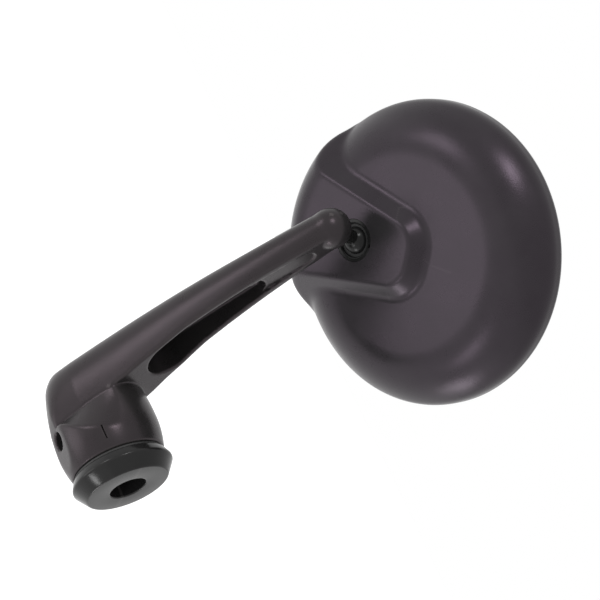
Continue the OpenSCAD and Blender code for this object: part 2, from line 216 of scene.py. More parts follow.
class Workshop:
    """Mesh helpers that the sub-assemblies share."""

    def __init__(self) -> None:
        """Builds every finish once."""
        self.materials = {slot: finish.build() for slot, finish in FINISHES.items()}

    def solid(self, name: str, points: np.ndarray, faces: list) -> Piece:
        """Makes a mesh object from points in millimetres.

        Args:
            name: Name of the object.
            points: N x 3 array in the row frame.
            faces: Vertex index lists.

        Returns:
            The linked object, at the origin, in metres.
        """
        mesh = bpy.data.meshes.new(name)
        mesh.from_pydata((np.asarray(points) * MM).tolist(), [], faces)
        mesh.validate()
        mesh.update()
        obj = bpy.data.objects.new(name, mesh)
        bpy.context.scene.collection.objects.link(obj)
        self.outward(obj)
        return obj

    def outward(self, obj: Piece) -> None:
        """Merges doubles and turns all faces outwards.

        Args:
            obj: The mesh object to mend.
        """
        work = bmesh.new()
        work.from_mesh(obj.data)
        bmesh.ops.remove_doubles(work, verts=work.verts, dist=1e-7)
        bmesh.ops.recalc_face_normals(work, faces=work.faces)
        work.to_mesh(obj.data)
        work.free()

    def turned(self, name: str, profile: list, place: Matrix, count: int = 144) -> Piece:
        """Turns a closed profile round the local z axis.

        Args:
            name: Name of the object.
            profile: (radius, z) pairs in millimetres; a radius of 0 closes on the axis.
            place: Local frame to row frame, in millimetres.
            count: Steps round the axis.

        Returns:
            The turned solid.
        """
        rows = [ring_row(r, z, count) for r, z in profile]
        return self.rows(name, rows, place, profile[0][0] > ON_AXIS)

    def rows(self, name: str, rows: list, place: Matrix, closed: bool = False) -> Piece:
        """Skins rings of points; a row of one point is a pole.

        Args:
            name: Name of the object.
            rows: Rings of the same number of points, or single points.
            place: Local frame to row frame, in millimetres.
            closed: True if the last ring joins the first.

        Returns:
            The skinned solid.
        """
        points, starts = [], []
        for row in rows:
            starts.append(len(points))
            points.extend(row)
        pairs = list(zip(range(len(rows) - 1), range(1, len(rows))))
        if closed:
            pairs.append((len(rows) - 1, 0))
        faces = []
        for i, j in pairs:
            a, b, n, m = starts[i], starts[j], len(rows[i]), len(rows[j])
            for k in range(max(n, m)):
                nxt = (k + 1) % max(n, m)
                if n == 1:
                    faces.append((a, b + k, b + nxt))
                elif m == 1:
                    faces.append((a + k, b, a + nxt))
                else:
                    faces.append((a + k, b + k, b + nxt, a + nxt))
        return self.solid(name, moved(points, place), faces)

    def box(self, name: str, low: tuple, high: tuple, place: Matrix) -> Piece:
        """Makes a block for cutting.

        Args:
            name: Name of the object.
            low: Lowest corner in the local frame.
            high: Highest corner in the local frame.
            place: Local frame to row frame, in millimetres.

        Returns:
            The block.
        """
        corners = [(x, y, z) for x in (low[0], high[0]) for y in (low[1], high[1]) for z in (low[2], high[2])]
        faces = [(0, 1, 3, 2), (4, 6, 7, 5), (0, 4, 5, 1), (2, 3, 7, 6), (0, 2, 6, 4), (1, 5, 7, 3)]
        return self.solid(name, moved(corners, place), faces)

    def combine(self, obj: Piece, others: list, how: Solver) -> Piece:
        """Joins or cuts with other solids, which are used up.

        Args:
            obj: The solid to change.
            others: Solids to add or take away.
            how: Join or cut.

        Returns:
            The changed object.
        """
        for other in others:
            modifier = obj.modifiers.new("combine", "BOOLEAN")
            modifier.operation = how.value
            modifier.object = other
            modifier.solver = "MANIFOLD"
        return self.bake(obj, others)

    def bake(self, obj: Piece, used: list = ()) -> Piece:
        """Turns the modifiers' result into a plain mesh.

        Args:
            obj: The object with modifiers.
            used: Objects that are removed afterwards.

        Returns:
            The same object, without modifiers.
        """
        graph = bpy.context.evaluated_depsgraph_get()
        graph.update()
        mesh = bpy.data.meshes.new_from_object(obj.evaluated_get(graph))
        obj.modifiers.clear()
        old = obj.data
        obj.data = mesh
        bpy.data.meshes.remove(old)
        for other in used:
            bpy.data.objects.remove(other, do_unlink=True)
        return obj

    def around(self, obj: Piece, count: int, radius: float, turn: float, slot: Slot) -> Piece:
        """Repeats a piece around the Z axis with a Geometry Nodes tree.

        Args:
            obj: The piece, at the origin.
            count: Number of copies.
            radius: Radius of the pattern in millimetres.
            turn: Angle of the first copy in degrees.
            slot: The record's material slot.

        Returns:
            The same object, holding all copies.
        """
        tree = bpy.data.node_groups.new(f"{obj.name}_pattern", "GeometryNodeTree")
        sizes = {
            "Count": ("NodeSocketInt", count),
            "Radius": ("NodeSocketFloat", radius * MM),
            "Turn": ("NodeSocketFloat", math.radians(turn)),
            "Finish": ("NodeSocketMaterial", self.materials[slot]),
        }
        tree.interface.new_socket("Piece", in_out="INPUT", socket_type="NodeSocketGeometry")
        sockets = {name: tree.interface.new_socket(name, in_out="INPUT", socket_type=kind)
                   for name, (kind, _) in sizes.items()}
        tree.interface.new_socket("Pattern", in_out="OUTPUT", socket_type="NodeSocketGeometry")
        kinds = {
            "entry": "NodeGroupInput", "circle": "GeometryNodeMeshCircle", "angle": "ShaderNodeCombineXYZ",
            "spin": "GeometryNodeTransform", "spread": "GeometryNodeInstanceOnPoints",
            "whole": "GeometryNodeRealizeInstances", "finish": "GeometryNodeSetMaterial",
            "result": "NodeGroupOutput",
        }
        nodes = {name: tree.nodes.new(kind) for name, kind in kinds.items()}
        for start, output, end, entry in (
            ("entry", "Count", "circle", "Vertices"), ("entry", "Radius", "circle", "Radius"),
            ("entry", "Turn", "angle", "Z"), ("circle", "Mesh", "spin", "Geometry"),
            ("angle", "Vector", "spin", "Rotation"), ("spin", "Geometry", "spread", "Points"),
            ("entry", "Piece", "spread", "Instance"), ("spread", "Instances", "whole", "Geometry"),
            ("whole", "Geometry", "finish", "Geometry"), ("entry", "Finish", "finish", "Material"),
            ("finish", "Geometry", "result", "Pattern"),
        ):
            tree.links.new(nodes[start].outputs[output], nodes[end].inputs[entry])
        modifier = obj.modifiers.new("pattern", "NODES")
        modifier.node_group = tree
        for name, (_, value) in sizes.items():
            modifier[sockets[name].identifier] = value
        return self.bake(obj)

    def dress(self, obj: Piece, slot: Slot, body: str, nodes: tuple, angle: float = 30.0) -> None:
        """Shades a finished piece, gives it its finish and hands it to the frame.

        Args:
            obj: The finished piece.
            slot: The record's material slot.
            body: The CAD body that it rides on.
            nodes: CAD nodes that it stands for.
            angle: Edges sharper than this stay sharp, in degrees.
        """
        mesh = obj.data
        mesh.shade_smooth()
        mesh.set_sharp_from_angle(angle=math.radians(angle))
        mesh.materials.clear()
        mesh.materials.append(self.materials[slot])
        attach(obj, body)
        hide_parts(*nodes)
        LOG.info("%s: %d faces on body %s, finish %s", obj.name, len(mesh.polygons), body, slot.value)

    def paint(self, node: str, slot: Slot) -> None:
        """Gives a CAD node that stays its finish.

        Args:
            node: The CAD node's name.
            slot: The record's material slot.
        """
        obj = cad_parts[node]
        obj.data.materials.clear()
        obj.data.materials.append(self.materials[slot])
        LOG.info("%s: CAD shape, finish %s", node, slot.value)


def moved(points: list, place: Matrix) -> np.ndarray:
    """Returns points of a local frame in the row frame, as an N x 3 array."""
    turn = np.array(place)
    return np.asarray(points, float) @ turn[:3, :3].T + turn[:3, 3]


def ring_row(radius: float, z: float, count: int) -> list:
    """Returns a ring of points round the local z axis, or its pole.

    Args:
        radius: Radius of the ring; 0 gives the pole.
        z: Height of the ring.
        count: Points in the ring.

    Returns:
        The ring's points.
    """
    if radius <= ON_AXIS:
        return [(0.0, 0.0, z)]
    angles = np.arange(count) * 2 * math.pi / count
    return [(radius * math.cos(a), radius * math.sin(a), z) for a in angles]


def band(inner: float, outer: float, low: float, high: float) -> list:
    """Returns the four corners of a (radius, z) profile."""
    return [(inner, low), (outer, low), (outer, high), (inner, high)]


def rounded(profile: list, radius: float, steps: int = 4) -> list:
    """Rounds the corners of an open or closed (radius, z) profile.

    Args:
        profile: Points; a third number gives a corner its own rounding.
        radius: Rounding where a point gives none.
        steps: Points for each corner.

    Returns:
        The profile with rounded corners.
    """
    out = []
    count = len(profile)
    closed = profile[0][0] > ON_AXIS
    for i, point in enumerate(profile):
        here = np.array(point[:2], float)
        want = point[2] if len(point) > 2 else radius
        ends = not closed and i in (0, count - 1)
        if ends or want <= 0 or here[0] < ON_AXIS:
            out.append((float(here[0]), float(here[1])))
            continue
        before = np.array(profile[i - 1][:2], float)
        after = np.array(profile[(i + 1) % count][:2], float)
        back, ahead = before - here, after - here
        reach = min(want, 0.45 * np.linalg.norm(back), 0.45 * np.linalg.norm(ahead))
        start = here + back / np.linalg.norm(back) * reach
        end = here + ahead / np.linalg.norm(ahead) * reach
        for k in range(steps + 1):
            u = k / steps
            q = start * (1 - u) ** 2 + here * 2 * u * (1 - u) + end * u * u
            out.append((float(q[0]), float(q[1])))
    return out


def mix(a: Number, b: Number, u: Number) -> Number:
    """Returns the value between a and b at share u."""
    return a + (b - a) * u


def scad_turn(angles: tuple) -> Matrix:
    """Returns the rotation about X, then Y, then Z, by angles in degrees."""
    x, y, z = (math.radians(a) for a in angles)
    return Matrix.Rotation(z, 4, "Z") @ Matrix.Rotation(y, 4, "Y") @ Matrix.Rotation(x, 4, "X")


ABOUT_X = Matrix.Rotation(math.radians(90), 4, "Y")


@dataclass
class Collar:
    """Turned collar and the friction washer behind it."""

    face_r: float = 13.7
    rim_r: float = 17.0
    top_r: float = 15.6
    cone_h: float = 4.6
    height: float = 7.6
    centring_r: float = 6.0
    centring_depth: float = 7.0
    hole_r: float = 4.2
    head_r: float = 7.0
    head_depth: float = 9.0
    spigot_r: float = 9.2
    spigot_end: float = 31.6
    groove_x: float = 24.4
    groove_depth: float = 1.3
    washer_t: float = 0.8
    washer_play: float = 0.15
    washer_inset: float = 0.5

    def build(self, shop: Workshop) -> None:
        """Makes the collar and the washer.

        Args:
            shop: The mesh helpers.
        """
        half, seat = self.groove_depth * 1.2, self.spigot_end - self.head_depth
        profile = [
            (self.centring_r, 0, 0.5), (self.face_r, 0, 0.45), (self.rim_r, self.cone_h, 0.7),
            (self.top_r, self.height, 0.5), (self.spigot_r, self.height, 0),
            (self.spigot_r, self.groove_x - half, 0), (self.spigot_r - self.groove_depth, self.groove_x, 0.3),
            (self.spigot_r, self.groove_x + half, 0), (self.spigot_r, self.spigot_end - 1, 0.2),
            (self.spigot_r - 1, self.spigot_end, 0.2), (self.head_r, self.spigot_end, 0.2),
            (self.head_r, seat, 0), (self.hole_r, seat, 0.3), (self.hole_r, self.centring_depth, 0.3),
            (self.centring_r, self.centring_depth, 0.1),
        ]
        collar = shop.turned("turned_collar", rounded(profile, 0.3), ABOUT_X, 180)
        shop.dress(collar, Slot.COLLAR, "collar", ("bar_collar",))
        ring = band(self.spigot_r + self.washer_play, self.top_r - self.washer_inset,
                    self.height, self.height + self.washer_t)
        washer = shop.turned("nylon_washer", rounded(ring, 0.2), ABOUT_X, 144)
        shop.dress(washer, Slot.NYLON, "collar", ("friction_washer",))


def soft_max(a: np.ndarray, b: np.ndarray, reach: Number) -> np.ndarray:
    """Returns the larger value, with the edge between the two rounded over a reach."""
    share = np.clip(0.5 + 0.5 * (a - b) / reach, 0, 1)
    return mix(b, a, share) + reach * share * (1 - share)


def soft_min(a: np.ndarray, b: np.ndarray, reach: Number) -> np.ndarray:
    """Returns the smaller value, with a fillet between the two over a reach."""
    return -soft_max(-a, -b, reach)


def slope_of(shape: Shape, points: np.ndarray, step: float) -> np.ndarray:
    """Returns the gradient of a shape function, by central differences.

    Args:
        shape: Function of points.
        points: Where the gradient is wanted.
        step: Distance to each side.

    Returns:
        One vector for each point.
    """
    parts = []
    for axis in range(3):
        shift = np.zeros(3)
        shift[axis] = step
        parts.append((shape(points + shift) - shape(points - shift)) / (2 * step))
    return np.stack(parts, axis=-1)


def surface_net(shape: Shape, low: tuple, high: tuple, step: float) -> tuple[np.ndarray, list]:
    """Skins the zero surface of a shape function with quads.

    Args:
        shape: Function of points that is negative inside the solid.
        low: Lowest corner of the grid.
        high: Highest corner of the grid.
        step: Grid step.

    Returns:
        The points and the quads.
    """
    axes = [np.arange(low[i], high[i] + step, step) for i in range(3)]
    value = shape(np.stack(np.meshgrid(*axes, indexing="ij"), axis=-1))
    inside = value < 0
    sizes = [len(axis) - 1 for axis in axes]
    offsets = [(i, j, k) for i in (0, 1) for j in (0, 1) for k in (0, 1)]
    filled = sum(inside[i:i + sizes[0], j:j + sizes[1], k:k + sizes[2]].astype(int) for i, j, k in offsets)
    mixed = (filled > 0) & (filled < 8)
    cells = np.argwhere(mixed)
    index = np.full(mixed.shape, -1)
    index[mixed] = np.arange(len(cells))
    total, hits = np.zeros((len(cells), 3)), np.zeros(len(cells))
    for axis in range(3):
        unit = np.eye(3, dtype=int)[axis]
        for offset in offsets:
            if offset[axis]:
                continue
            start = cells + offset
            first, last = value[tuple(start.T)], value[tuple((start + unit).T)]
            cross = (first < 0) != (last < 0)
            share = np.where(cross, first / np.where(cross, first - last, 1), 0)
            total += np.where(cross[:, None], start + share[:, None] * unit, 0)
            hits += cross
    points = np.array(low) + step * total / hits[:, None]
    quads = []
    for axis in range(3):
        side, other = (axis + 1) % 3, (axis + 2) % 3
        ahead = np.roll(inside, -1, axis)
        edges = np.argwhere(inside != ahead)
        keep = (edges[:, axis] < sizes[axis]) & (edges[:, side] > 0) & (edges[:, other] > 0)
        edges = edges[keep]
        turned = inside[tuple(edges.T)]
        ring = []
        for back_side, back_other in ((0, 0), (1, 0), (1, 1), (0, 1)):
            cell = edges.copy()
            cell[:, side] -= back_side
            cell[:, other] -= back_other
            ring.append(index[tuple(cell.T)])
        ring = np.stack(ring, axis=-1)
        quads.append(np.where(turned[:, None], ring, ring[:, ::-1]))
    for _ in range(4):
        slope = slope_of(shape, points, step * 0.1)
        length = np.maximum((slope ** 2).sum(axis=-1), 0.2)
        move = -shape(points)[:, None] * slope / length[:, None]
        far = np.linalg.norm(move, axis=-1, keepdims=True)
        points = points + move * np.minimum(1.0, 0.4 * step / np.maximum(far, TINY))
    return points, np.concatenate(quads).tolist()


@dataclass
class Arm:
    """Tapered arm with its boss, pocket and rounded end, and the clamp screw, in millimetres."""

    arm_h: float = 95.0
    tip_x: float = 43.4
    tip_r: float = 6.6
    arm_w: float = 24.4
    arm_tip_w: float = 12.8
    width_power: float = 0.85
    crown_x: float = 50.0
    crown_share: float = 0.63
    crown_falls: tuple = (0.00084, 0.0002)
    flat_root_x: float = 27.6
    flat_tip_x: float = 38.5
    drop_heights: tuple = (-10, -5.5, -1, 2, 7, 12, 17, 23, 30, 40)
    drops: tuple = (2.3, 1.5, 0.8, 0.6, 1, 1.4, 1.4, 1, 0.8, 0)
    mid_shares: tuple = (0.08, 0.42)
    mid_power: float = 1.4
    section_powers: tuple = (2.7, 2.0)
    heel_bend: float = 4.0
    heel_gap: float = 0.2
    heel_xs: tuple = (30, 43)
    heel_reaches: tuple = (1.0, 3.5)
    boss_r: float = 17.05
    boss_x0: float = 8.55
    boss_x1: float = 36.0
    belly_x: float = 18.2
    belly_spreads: tuple = (60.0, 140.0)
    shoulder_heights: tuple = (-10, -5.5, 0, 5.2, 9, 12.9, 17)
    shoulder_xs: tuple = (24.6, 22.8, 19.4, 16.8, 16.6, 17.0, 18.0)
    shoulder_ys: tuple = (15.6, 15.9, 16.4, 16.0, 14.4, 11.2, 9.0)
    bevel_inset: float = 0.1
    join_reach: float = 0.3
    join_zs: tuple = (8, 16)
    join_xs: tuple = (28, 31)
    join_extra: float = 0.6
    pocket_shares: tuple = (0.315, 0.66, 0.88)
    pocket_floor: float = 7.5
    pocket_rim: float = 1.9
    groove_floor: float = 0.2
    bore_r: float = 9.25
    bore_end: float = 32.2
    clamp_x: float = 21.28
    clamp_r: float = 3.05
    clamp_angle: float = 42.0
    land_d: float = 16.1
    stud_seat: float = 5.7
    seat_r: float = 5.4
    thread_r: float = 3.05
    shank_l: float = 9.0
    fine_edge: float = 0.3
    edge: float = 0.5
    soft_edge: float = 0.6
    floor_fillet: float = 1.2
    grid_step: float = 0.5
    grid_low: tuple = (7.5, -18.2, -18.2)
    grid_high: tuple = (51.5, 18.2, 103.0)
    notch_low: tuple = (11.9, 15.0, 4.85)
    notch_high: tuple = (16.6, 19.0, 5.35)
    stud_way: Vector = field(default_factory=Vector)

    def flat_at(self, z: np.ndarray) -> np.ndarray:
        """Returns the flat side's distance from the bar face at heights z."""
        upper = mix(self.flat_root_x, self.flat_tip_x, 1 - (1 - np.clip(z / self.arm_h, 0, 1)) ** 2)
        return upper - np.interp(z, self.drop_heights, self.drops)

    def half_width(self, z: np.ndarray) -> np.ndarray:
        """Returns half of the arm's width at heights z."""
        return mix(self.arm_w / 2, self.arm_tip_w / 2, np.clip(z / self.arm_h, 0, 1) ** self.width_power)

    def belly(self, x: np.ndarray) -> np.ndarray:
        """Returns the radius of the boss's outline at distances x from the bar face."""
        off = x - self.belly_x
        return self.boss_r - off ** 2 / np.where(off < 0, *self.belly_spreads)

    def capsule(self, p: np.ndarray, ends: tuple) -> np.ndarray:
        """Returns the distance outside a tapered slot's outline.

        Args:
            p: Points.
            ends: Lower height and radius, then upper height and radius.

        Returns:
            One distance for each point.
        """
        z0, r0, z1, r1 = ends
        y, z = p[..., 1], p[..., 2]
        lean = (r0 - r1) / (z1 - z0)
        rise = math.sqrt(1 - lean * lean)
        px, pz = np.abs(y), z - z0
        along = -px * lean + pz * rise
        straight = px * rise + pz * lean - r0
        lower, upper = np.hypot(px, pz) - r0, np.hypot(px, z - z1) - r1
        return np.where(along < 0, lower, np.where(along > rise * (z1 - z0), upper, straight))

    def beam(self, p: np.ndarray) -> np.ndarray:
        """Returns the distance outside the tapered beam.

        Args:
            p: Points.

        Returns:
            One distance for each point.
        """
        x, y, z = np.moveaxis(p, -1, 0)
        taper = np.clip(z / self.arm_h, 0, 1)
        low = self.flat_at(z)
        fall = z - self.crown_share * self.arm_h
        high = self.crown_x - np.where(fall < 0, *self.crown_falls) * fall ** 2
        mid = mix(low, high, mix(*self.mid_shares, taper ** self.mid_power))
        power = mix(*self.section_powers, taper)
        depth, half = high - mid, self.half_width(z)
        size = (np.abs((x - mid) / depth) ** power + np.abs(y / half) ** power + TINY) ** (1 / power)
        side = (size - 1) * np.minimum(depth, half) * 0.95
        flat = (low - x) * 0.97
        body = soft_max(side, flat, 0.8)
        body = soft_max(body, z - self.arm_h, self.soft_edge)
        below = (z - np.sqrt(z * z + self.heel_bend ** 2)) / 2
        heel = np.hypot(y, below) - self.belly(x) - self.heel_gap
        return soft_max(body, heel, np.interp(x, self.heel_xs, self.heel_reaches))

    def boss(self, p: np.ndarray) -> np.ndarray:
        """Returns the distance outside the boss, whose front and back twist up into the beam's edge.

        Args:
            p: Points.

        Returns:
            One distance for each point.
        """
        x, y, z = np.moveaxis(p, -1, 0)
        barrel = soft_max(np.hypot(y, z) - self.belly(x), self.boss_x0 - x, self.edge)
        barrel = np.maximum(barrel, x - self.boss_x1)
        edge_x = self.flat_at(z)
        edge_y = self.half_width(z) - self.bevel_inset
        height = np.clip(z, -11, 18)
        shoulder_x, shoulder_y = (np.polyval(np.polyfit(self.shoulder_heights, line, 4), height)
                                  for line in (self.shoulder_xs, self.shoulder_ys))
        run, rise = shoulder_x - edge_x, shoulder_y - edge_y
        length = np.hypot(run, rise)
        bevel = ((np.abs(y) - edge_y) * -run + (x - edge_x) * rise) / length
        return soft_max(barrel, bevel, self.edge)

    def pockets(self, body: np.ndarray, p: np.ndarray) -> np.ndarray:
        """Cuts the deep pocket and the shallow groove above it.

        Args:
            body: Distances outside the uncut arm.
            p: Points.

        Returns:
            One distance for each point.
        """
        z0, z1, z2 = (share * self.arm_h for share in self.pocket_shares)
        w0, w1, w2 = (float(self.half_width(z)) - self.pocket_rim for z in (z0, z1, z2))
        deep = self.capsule(p, (z0, w0, z1, w1 - 0.8))
        deep = soft_max(deep, p[..., 0] - self.crown_x + self.pocket_floor, self.floor_fillet)
        body = soft_max(body, -deep, self.soft_edge)
        groove = self.capsule(p, (z1, w1 - 1, z2, w2 - 2))
        groove = np.maximum(groove, p[..., 0] - self.flat_tip_x - self.groove_floor)
        return soft_max(body, -groove, self.fine_edge)

    def holes(self, body: np.ndarray, p: np.ndarray) -> np.ndarray:
        """Cuts the bore, the clamp screw's land and hole, and the stud's seat and thread.

        Args:
            body: Distances outside the arm so far.
            p: Points.

        Returns:
            One distance for each point.
        """
        x, y, z = np.moveaxis(p, -1, 0)
        bore = np.maximum(np.hypot(y, z) - self.bore_r, x - self.bore_end)
        body = soft_max(body, -bore, self.edge)
        turn = math.radians(self.clamp_angle)
        out = y * math.sin(turn) - z * math.cos(turn)
        around = np.hypot(x - self.clamp_x, y * math.cos(turn) + z * math.sin(turn))
        body = soft_max(body, out - self.land_d, self.fine_edge)
        body = soft_max(body, -np.maximum(around - self.clamp_r, -out), self.edge)
        from_tip = p - np.array((self.tip_x, 0.0, self.arm_h))
        along = from_tip @ np.array(self.stud_way)
        radial = np.sqrt(np.maximum((from_tip ** 2).sum(axis=-1) - along ** 2, 0))
        body = soft_max(body, -np.maximum(radial - self.seat_r, self.stud_seat - along), 0.4)
        half = self.shank_l / 2
        thread = np.maximum(radial - self.thread_r, np.abs(along - self.stud_seat + half + 0.5) - half - 1)
        return np.maximum(body, -thread)

    def shape(self, p: np.ndarray) -> np.ndarray:
        """Returns the distance outside the finished arm.

        Args:
            p: Points.

        Returns:
            One distance for each point.
        """
        x, y, z = np.moveaxis(p, -1, 0)
        extra = np.interp(z, self.join_zs, (0.0, self.join_extra)) * np.interp(x, self.join_xs, (1, 0))
        body = soft_min(self.beam(p), self.boss(p), self.join_reach + extra)
        end = np.sqrt((x - self.tip_x) ** 2 + y * y + (z - self.arm_h) ** 2) - self.tip_r
        body = soft_min(body, end, self.edge)
        return self.holes(self.pockets(body, p), p)

    def build(self, shop: Workshop) -> None:
        """Makes the arm and gives the CAD clamp screw its finish.

        Args:
            shop: The mesh helpers.
        """
        points, quads = surface_net(self.shape, self.grid_low, self.grid_high, self.grid_step)
        arm = shop.solid("cast_arm", points, quads)
        notch = shop.box("parting_notch", self.notch_low, self.notch_high, Matrix())
        shop.combine(arm, [notch], Solver.CUT)
        shop.dress(arm, Slot.ARM, "arm", ("arm",), 50.0)
        shop.paint("clamp_screw", Slot.STEEL)


@dataclass
class Head:
    """Mirror head: shell with its tongue and socket, ring, carrier, pad, glass and gasket."""

    head_r: float = 50.0
    depth: float = 16.5
    flat_r: float = 31.0
    shoulder_z: float = 13.0
    shoulder_r: float = 22.0
    inner_r: float = 47.6
    floor: float = 2.6
    tongue_h: float = 5.0
    tongue_w: float = 21.0
    tongue_past: float = 5.0
    tongue_angle: float = 11.0
    corner_r: float = 8.0
    rim_arc: float = 13.0
    rim_edge: float = 1.2
    foot_fillet: float = 1.3
    top_fillet: float = 0.9
    skin_grid: tuple = (480, 180)
    skin_reach: tuple = (10.0, 75.0)
    skin_halvings: int = 34
    ball_offset: float = 16.5
    ball_z: float = 2.35
    socket_r: float = 5.79
    socket_wall: float = 2.4
    ring_r: float = 6.99
    ring_play: float = 0.05
    ring_base: float = -0.7
    ring_top: float = 2.3
    lip_h: float = 1.9
    slot_half: float = 0.6
    carrier_back: float = 10.9
    post_r: float = 3.4
    post_top: float = -3.4
    post_ring_r: float = 37.0
    post_angles: tuple = (90, 210, 330)
    pilot_r: float = 1.3
    glass_gap: float = 0.9
    glass_curve: float = 1000.0
    glass_sink: float = 0.5
    glass_t: float = 2.0
    screw_head_r: float = 2.4
    screw_head_t: float = 0.7
    screw_r: float = 1.25
    screw_l: float = 5.5
    place: Matrix = field(default_factory=Matrix)
    at_ball: Matrix = field(default_factory=Matrix)

    def dome(self, p: np.ndarray) -> np.ndarray:
        """Returns the distance outside the domed back, negative inside.

        Args:
            p: Points.

        Returns:
            One distance for each point.
        """
        r, z = np.hypot(p[..., 0], p[..., 1]), p[..., 2]
        run = self.head_r - self.flat_r
        edge_r = (run ** 2 + (self.shoulder_r - self.shoulder_z) ** 2 - self.shoulder_r ** 2) / (
            2 * (run - self.shoulder_r))
        small = np.array((self.head_r - edge_r, -self.shoulder_z))
        big = np.array((self.flat_r, -self.shoulder_r))
        toward = math.atan2(small[1] - big[1], small[0] - big[0])
        angle = np.arctan2(z - big[1], r - big[0])
        far = np.hypot(r - big[0], z - big[1]) - self.shoulder_r
        near = np.hypot(r - small[0], z - small[1]) - edge_r
        below = np.where(z > -self.shoulder_z, near, r - self.head_r)
        return np.where(r < self.flat_r, z, np.where(angle > toward, far, below))

    def tongue(self, p: np.ndarray) -> np.ndarray:
        """Returns the distance outside the raised tongue, negative inside.

        Args:
            p: Points.

        Returns:
            One distance for each point.
        """
        x, y, z = np.moveaxis(p, -1, 0)
        lean = math.radians(self.tongue_angle)
        tip_x, tip_y = self.corner_r - self.tongue_past, self.tongue_w / 2 - self.corner_r
        dx, dy = x - tip_x, np.abs(y) - tip_y
        side = dy * math.cos(lean) - dx * math.sin(lean)
        along = dx * math.cos(lean) + dy * math.sin(lean)
        corner = np.where((along < 0) & (dy > 0), np.hypot(dx, dy), np.maximum(side, -dx))
        wall = (corner - self.corner_r + z - self.tongue_h) * math.sqrt(0.5)
        roof = soft_max(z - self.tongue_h, wall, self.top_fillet)
        qx, qz = np.hypot(x, y) - self.head_r + self.rim_arc, z - self.tongue_h + self.rim_arc
        corner = np.hypot(np.maximum(qx, 0), np.maximum(qz, 0))
        end = corner + np.minimum(np.maximum(qx, qz), 0) - self.rim_arc
        return soft_max(roof, end, self.rim_edge)

    def outside(self, p: np.ndarray) -> np.ndarray:
        """Returns the distance of points outside dome and tongue, joined by a fillet."""
        return soft_min(self.dome(p), self.tongue(p), self.foot_fillet)

    def skin(self) -> np.ndarray:
        """Finds where rays from the middle of the open side leave the back.

        Returns:
            Rings of points from the back's middle to the rim.
        """
        count, steps = self.skin_grid
        heart = np.array((0.0, 0.0, -self.depth))
        polar = np.linspace(0.0, 1.0, steps + 1)[1:] * (math.pi / 2 - math.atan2(1.5, self.head_r))
        theta = np.arange(count) * 2 * math.pi / count
        ray = np.stack([np.sin(polar)[:, None] * np.cos(theta), np.sin(polar)[:, None] * np.sin(theta),
                        np.cos(polar)[:, None] * np.ones(count)], axis=-1)
        low, high = (np.full(ray.shape[:2], reach) for reach in self.skin_reach)
        for _ in range(self.skin_halvings):
            middle = (low + high) / 2
            out = self.outside(heart + ray * middle[..., None]) > 0
            high, low = np.where(out, middle, high), np.where(out, low, middle)
        return heart + ray * low[..., None]

    def shell(self, shop: Workshop) -> Piece:
        """Makes the cast shell.

        Args:
            shop: The mesh helpers.

        Returns:
            The shell with its socket and posts.
        """
        rows = [[(0.0, 0.0, self.tongue_h)]] + [[tuple(q) for q in row] for row in self.skin()]
        rim = rounded([(self.head_r, -self.depth + 1.4, 0), (self.head_r - 0.35, -self.depth, 0.5),
                       (self.inner_r, -self.depth, 0.4), (self.inner_r, -self.carrier_back, 0),
                       (self.flat_r, -self.floor, 1), (0.0, -self.floor)], 0.4)
        rows += [ring_row(r, z, self.skin_grid[0]) for r, z in rim]
        shell = shop.rows("cast_shell", rows, self.place)
        socket = self.place @ Matrix.Translation((self.ball_offset, 0, self.ball_z))
        boss = band(0.0, self.ring_r + 2.5, -self.socket_r - self.socket_wall, -self.socket_wall)
        added = [shop.turned("socket_boss", boss, socket, 96)]
        post = band(0.0, self.post_r, -self.carrier_back, self.post_top)
        pilot = band(0.0, self.pilot_r, -self.carrier_back - 1, -self.carrier_back + 5)
        holes = []
        for angle in self.post_angles:
            at = self.place @ Matrix.Rotation(math.radians(angle), 4, "Z")
            at = at @ Matrix.Translation((self.post_ring_r, 0, 0))
            added.append(shop.turned("post", post, at, 48))
            holes.append(shop.turned("pilot", pilot, at, 32))
        shop.combine(shell, added, Solver.JOIN)
        mouth, tight = self.tongue_h - self.ball_z, self.ring_r + self.ring_play
        bore = [(0.0, self.ring_base), (tight, self.ring_base), (tight, mouth - 0.35),
                (self.ring_r + 0.1, mouth - 0.1), (self.ring_r + 0.1, mouth + 5), (0.0, mouth + 5)]
        cup = [(self.socket_r * math.sin(math.pi * k / 48), -self.socket_r * math.cos(math.pi * k / 48))
               for k in range(49)]
        cup[0], cup[-1] = (0.0, -self.socket_r), (0.0, self.socket_r)
        holes += [shop.turned("ring_bore", bore, socket, 128), shop.turned("cup", cup, socket, 96)]
        return shop.combine(shell, holes, Solver.CUT)

    def ring(self, shop: Workshop) -> Piece:
        """Makes the threaded retaining ring with its spanner slots.

        Args:
            shop: The mesh helpers.

        Returns:
            The ring.
        """
        top, half = self.ring_top, self.slot_half
        lip = math.sqrt(self.socket_r ** 2 - self.lip_h ** 2)
        heights = np.linspace(self.ring_base, self.lip_h - 0.4, 24)
        cup = [(math.sqrt(self.socket_r ** 2 - z * z), z) for z in heights]
        profile = [(self.ring_r, self.ring_base, 0.1), (self.ring_r, top, 0.15), (lip + 0.4, top, 0.15),
                   (lip, top - 0.4, 0.1)]
        profile += [(r, z, 0) for r, z in reversed(cup)]
        ring = shop.turned("retaining_ring", rounded(profile, 0.0), self.at_ball, 128)
        slots = []
        for angle in (0, 180):
            at = self.at_ball @ Matrix.Rotation(math.radians(angle), 4, "Z")
            low, high = (lip + 0.9, -half, top - 0.6), (lip + 4, half, top + 1.4)
            slots.append(shop.box("spanner_slot", low, high, at))
        return shop.combine(ring, slots, Solver.CUT)

